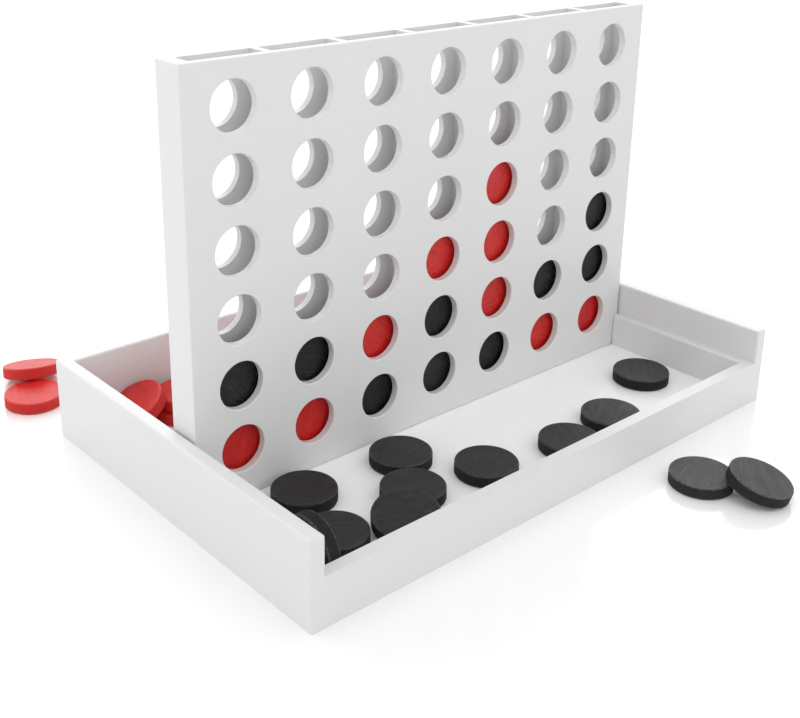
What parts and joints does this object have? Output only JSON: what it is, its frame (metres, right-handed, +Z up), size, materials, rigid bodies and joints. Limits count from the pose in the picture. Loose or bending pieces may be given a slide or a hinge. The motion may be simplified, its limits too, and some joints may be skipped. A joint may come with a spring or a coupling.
{
  "type": "four in a row frame",
  "caption": "White wooden four in a row set: an open storage tray, an upright grid of round holes standing across it, and black and red wooden discs in the grid, the tray and beside it.",
  "frame": {"origin": "middle of the tray's underside, on the table", "axes": "+X along the grid to the right, +Y to the back (the tray's low wall is at the front), +Z up"},
  "size_m": [0.2563, 0.2881, 0.1643],
  "materials": {
    "white_paint": "satin white paint over smooth fibreboard, softly rounded edges",
    "black_stain": "black stained wood, satin, fine grain showing",
    "red_stain": "red stained wood, satin, fine grain showing"
  },
  "bodies": {
    "tray": {"tray_floor": "white_paint", "front_wall": "white_paint", "back_wall": "white_paint", "left_wall": "white_paint", "right_wall": "white_paint", "left_liners": "white_paint", "right_liners": "white_paint"},
    "grid": {"front_panel": "white_paint", "back_panel": "white_paint", "left_rail": "white_paint", "right_rail": "white_paint", "bottom_rail": "white_paint", "divider_1": "white_paint", "divider_2": "white_paint", "divider_3": "white_paint", "divider_4": "white_paint", "divider_5": "white_paint", "divider_6": "white_paint"},
    "red_disc_01": {"red_disc_01": "red_stain"},
    "black_disc_01": {"black_disc_01": "black_stain"},
    "red_disc_02": {"red_disc_02": "red_stain"},
    "black_disc_02": {"black_disc_02": "black_stain"},
    "black_disc_03": {"black_disc_03": "black_stain"},
    "red_disc_03": {"red_disc_03": "red_stain"},
    "black_disc_04": {"black_disc_04": "black_stain"},
    "black_disc_05": {"black_disc_05": "black_stain"},
    "red_disc_04": {"red_disc_04": "red_stain"},
    "black_disc_06": {"black_disc_06": "black_stain"},
    "red_disc_05": {"red_disc_05": "red_stain"},
    "red_disc_06": {"red_disc_06": "red_stain"},
    "red_disc_07": {"red_disc_07": "red_stain"},
    "red_disc_08": {"red_disc_08": "red_stain"},
    "black_disc_07": {"black_disc_07": "black_stain"},
    "red_disc_09": {"red_disc_09": "red_stain"},
    "black_disc_08": {"black_disc_08": "black_stain"},
    "black_disc_09": {"black_disc_09": "black_stain"},
    "black_disc_10": {"black_disc_10": "black_stain"},
    "black_disc_11": {"black_disc_11": "black_stain"},
    "black_disc_12": {"black_disc_12": "black_stain"},
    "black_disc_13": {"black_disc_13": "black_stain"},
    "black_disc_14": {"black_disc_14": "black_stain"},
    "black_disc_15": {"black_disc_15": "black_stain"},
    "black_disc_16": {"black_disc_16": "black_stain"},
    "black_disc_17": {"black_disc_17": "black_stain"},
    "black_disc_18": {"black_disc_18": "black_stain"},
    "red_disc_10": {"red_disc_10": "red_stain"},
    "red_disc_11": {"red_disc_11": "red_stain"},
    "red_disc_12": {"red_disc_12": "red_stain"},
    "red_disc_13": {"red_disc_13": "red_stain"},
    "red_disc_14": {"red_disc_14": "red_stain"},
    "red_disc_15": {"red_disc_15": "red_stain"},
    "red_disc_16": {"red_disc_16": "red_stain"},
    "red_disc_17": {"red_disc_17": "red_stain"},
    "red_disc_18": {"red_disc_18": "red_stain"},
    "black_disc_19": {"black_disc_19": "black_stain"},
    "black_disc_20": {"black_disc_20": "black_stain"},
    "black_disc_21": {"black_disc_21": "black_stain"},
    "red_disc_19": {"red_disc_19": "red_stain"},
    "red_disc_20": {"red_disc_20": "red_stain"},
    "red_disc_21": {"red_disc_21": "red_stain"}
  },
  "joints": [
    {"name": "grid_lift", "type": "slide", "parent": "tray", "child": "grid", "axis": [0, 0, 1], "range_m": [0, 0.045]},
    {"name": "red_disc_01_lift", "type": "slide", "parent": "grid", "child": "red_disc_01", "axis": [0, 0, 1], "range_m": [0, 0.158]},
    {"name": "black_disc_01_lift", "type": "slide", "parent": "red_disc_01", "child": "black_disc_01", "axis": [0, 0, 1], "range_m": [0, 0.133]},
    {"name": "red_disc_02_lift", "type": "slide", "parent": "grid", "child": "red_disc_02", "axis": [0, 0, 1], "range_m": [0, 0.158]},
    {"name": "black_disc_02_lift", "type": "slide", "parent": "red_disc_02", "child": "black_disc_02", "axis": [0, 0, 1], "range_m": [0, 0.133]},
    {"name": "black_disc_03_lift", "type": "slide", "parent": "grid", "child": "black_disc_03", "axis": [0, 0, 1], "range_m": [0, 0.158]},
    {"name": "red_disc_03_lift", "type": "slide", "parent": "black_disc_03", "child": "red_disc_03", "axis": [0, 0, 1], "range_m": [0, 0.133]},
    {"name": "black_disc_04_lift", "type": "slide", "parent": "grid", "child": "black_disc_04", "axis": [0, 0, 1], "range_m": [0, 0.158]},
    {"name": "black_disc_05_lift", "type": "slide", "parent": "black_disc_04", "child": "black_disc_05", "axis": [0, 0, 1], "range_m": [0, 0.133]},
    {"name": "red_disc_04_lift", "type": "slide", "parent": "black_disc_05", "child": "red_disc_04", "axis": [0, 0, 1], "range_m": [0, 0.108]},
    {"name": "black_disc_06_lift", "type": "slide", "parent": "grid", "child": "black_disc_06", "axis": [0, 0, 1], "range_m": [0, 0.158]},
    {"name": "red_disc_05_lift", "type": "slide", "parent": "black_disc_06", "child": "red_disc_05", "axis": [0, 0, 1], "range_m": [0, 0.133]},
    {"name": "red_disc_06_lift", "type": "slide", "parent": "red_disc_05", "child": "red_disc_06", "axis": [0, 0, 1], "range_m": [0, 0.108]},
    {"name": "red_disc_07_lift", "type": "slide", "parent": "red_disc_06", "child": "red_disc_07", "axis": [0, 0, 1], "range_m": [0, 0.083]},
    {"name": "red_disc_08_lift", "type": "slide", "parent": "grid", "child": "red_disc_08", "axis": [0, 0, 1], "range_m": [0, 0.158]},
    {"name": "black_disc_07_lift", "type": "slide", "parent": "red_disc_08", "child": "black_disc_07", "axis": [0, 0, 1], "range_m": [0, 0.133]},
    {"name": "red_disc_09_lift", "type": "slide", "parent": "grid", "child": "red_disc_09", "axis": [0, 0, 1], "range_m": [0, 0.158]},
    {"name": "black_disc_08_lift", "type": "slide", "parent": "red_disc_09", "child": "black_disc_08", "axis": [0, 0, 1], "range_m": [0, 0.133]},
    {"name": "black_disc_09_lift", "type": "slide", "parent": "black_disc_08", "child": "black_disc_09", "axis": [0, 0, 1], "range_m": [0, 0.108]},
    {"name": "black_disc_10_lift", "type": "slide", "parent": "tray", "child": "black_disc_10", "axis": [0, 0, 1], "range_m": [0, 0.045]},
    {"name": "black_disc_11_lift", "type": "slide", "parent": "tray", "child": "black_disc_11", "axis": [0, 0, 1], "range_m": [0, 0.045]},
    {"name": "black_disc_12_lift", "type": "slide", "parent": "tray", "child": "black_disc_12", "axis": [0, 0, 1], "range_m": [0, 0.045]},
    {"name": "black_disc_13_lift", "type": "slide", "parent": "tray", "child": "black_disc_13", "axis": [0, 0, 1], "range_m": [0, 0.045]},
    {"name": "black_disc_14_lift", "type": "slide", "parent": "tray", "child": "black_disc_14", "axis": [0, 0, 1], "range_m": [0, 0.045]},
    {"name": "black_disc_15_lift", "type": "slide", "parent": "tray", "child": "black_disc_15", "axis": [0, 0, 1], "range_m": [0, 0.045]},
    {"name": "black_disc_16_lift", "type": "slide", "parent": "tray", "child": "black_disc_16", "axis": [0, 0, 1], "range_m": [0, 0.045]},
    {"name": "black_disc_17_lift", "type": "slide", "parent": "tray", "child": "black_disc_17", "axis": [0, 0, 1], "range_m": [0, 0.045]},
    {"name": "black_disc_18_lift", "type": "slide", "parent": "tray", "child": "black_disc_18", "axis": [0, 0, 1], "range_m": [0, 0.045]},
    {"name": "red_disc_10_lift", "type": "slide", "parent": "tray", "child": "red_disc_10", "axis": [0, 0, 1], "range_m": [0, 0.045]},
    {"name": "red_disc_11_lift", "type": "slide", "parent": "tray", "child": "red_disc_11", "axis": [0, 0, 1], "range_m": [0, 0.045]},
    {"name": "red_disc_12_lift", "type": "slide", "parent": "red_disc_11", "child": "red_disc_12", "axis": [0, 0, 1], "range_m": [0, 0.045]},
    {"name": "red_disc_13_lift", "type": "slide", "parent": "tray", "child": "red_disc_13", "axis": [0, 0, 1], "range_m": [0, 0.045]},
    {"name": "red_disc_14_lift", "type": "slide", "parent": "tray", "child": "red_disc_14", "axis": [0, 0, 1], "range_m": [0, 0.045]},
    {"name": "red_disc_15_lift", "type": "slide", "parent": "tray", "child": "red_disc_15", "axis": [0, 0, 1], "range_m": [0, 0.045]},
    {"name": "red_disc_16_lift", "type": "slide", "parent": "tray", "child": "red_disc_16", "axis": [0, 0, 1], "range_m": [0, 0.045]},
    {"name": "red_disc_17_lift", "type": "slide", "parent": "red_disc_16", "child": "red_disc_17", "axis": [0, 0, 1], "range_m": [0, 0.045]},
    {"name": "red_disc_18_lift", "type": "slide", "parent": "tray", "child": "red_disc_18", "axis": [0, 0, 1], "range_m": [0, 0.045]},
    {"name": "black_disc_19_lift", "type": "slide", "parent": "tray", "child": "black_disc_19", "axis": [0, 0, 1], "range_m": [0, 0.045]},
    {"name": "black_disc_20_lift", "type": "slide", "parent": "black_disc_13", "child": "black_disc_20", "axis": [0, 0, 1], "range_m": [0, 0.045]},
    {"name": "black_disc_21_lift", "type": "slide", "parent": "black_disc_18", "child": "black_disc_21", "axis": [0, 0, 1], "range_m": [0, 0.045]},
    {"name": "red_disc_19_lift", "type": "slide", "parent": "red_disc_10", "child": "red_disc_19", "axis": [0, 0, 1], "range_m": [0, 0.045]},
    {"name": "red_disc_20_lift", "type": "slide", "parent": "red_disc_12", "child": "red_disc_20", "axis": [0, 0, 1], "range_m": [0, 0.045]},
    {"name": "red_disc_21_lift", "type": "slide", "parent": "red_disc_14", "child": "red_disc_21", "axis": [0, 0, 1], "range_m": [0, 0.045]}
  ]
}
